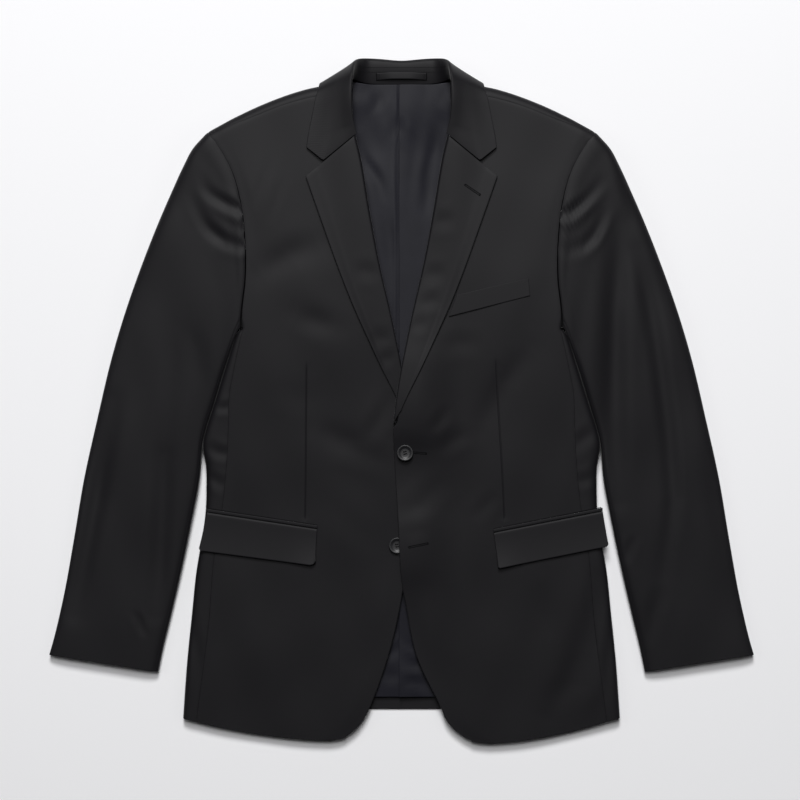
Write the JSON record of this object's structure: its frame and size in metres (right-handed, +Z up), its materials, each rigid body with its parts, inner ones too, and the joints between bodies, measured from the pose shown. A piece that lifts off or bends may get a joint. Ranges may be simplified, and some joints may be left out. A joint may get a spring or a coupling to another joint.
{
  "type": "blazer",
  "caption": "Single-breasted notch-lapel blazer in dark suiting, lying flat and buttoned, with flap pockets, a breast welt and a lined, open body and sleeves.",
  "frame": {"origin": "on the surface that the garment lies on, below the middle of its outline", "axes": "+X towards the wearer's left, +Y towards the collar, +Z up from the surface, out of the garment's front"},
  "size_m": [0.8324, 0.8093, 0.0444],
  "materials": {
    "shell": "matte woven suiting, charcoal black",
    "lining": "satin lining, dark slate",
    "button": "dark horn-like resin, satin"
  },
  "bodies": {
    "root": {"back_left": "shell", "back_right": "shell", "side_left": "shell", "side_right": "shell", "front_left": "shell", "front_right": "shell", "lapel_left": "shell", "lapel_right": "shell", "collar": "shell", "collar_stand": "shell", "sleeve_top_left": "shell", "sleeve_top_right": "shell", "sleeve_under_left": "shell", "sleeve_under_right": "shell", "flap_left": "shell", "flap_right": "shell", "jet_left": "shell", "jet_right": "shell", "breast_welt": "shell", "lining_left": "lining", "lining_right": "lining", "hanger_loop": "lining", "button_upper": "button", "button_lower": "button"}
  },
  "joints": []
}
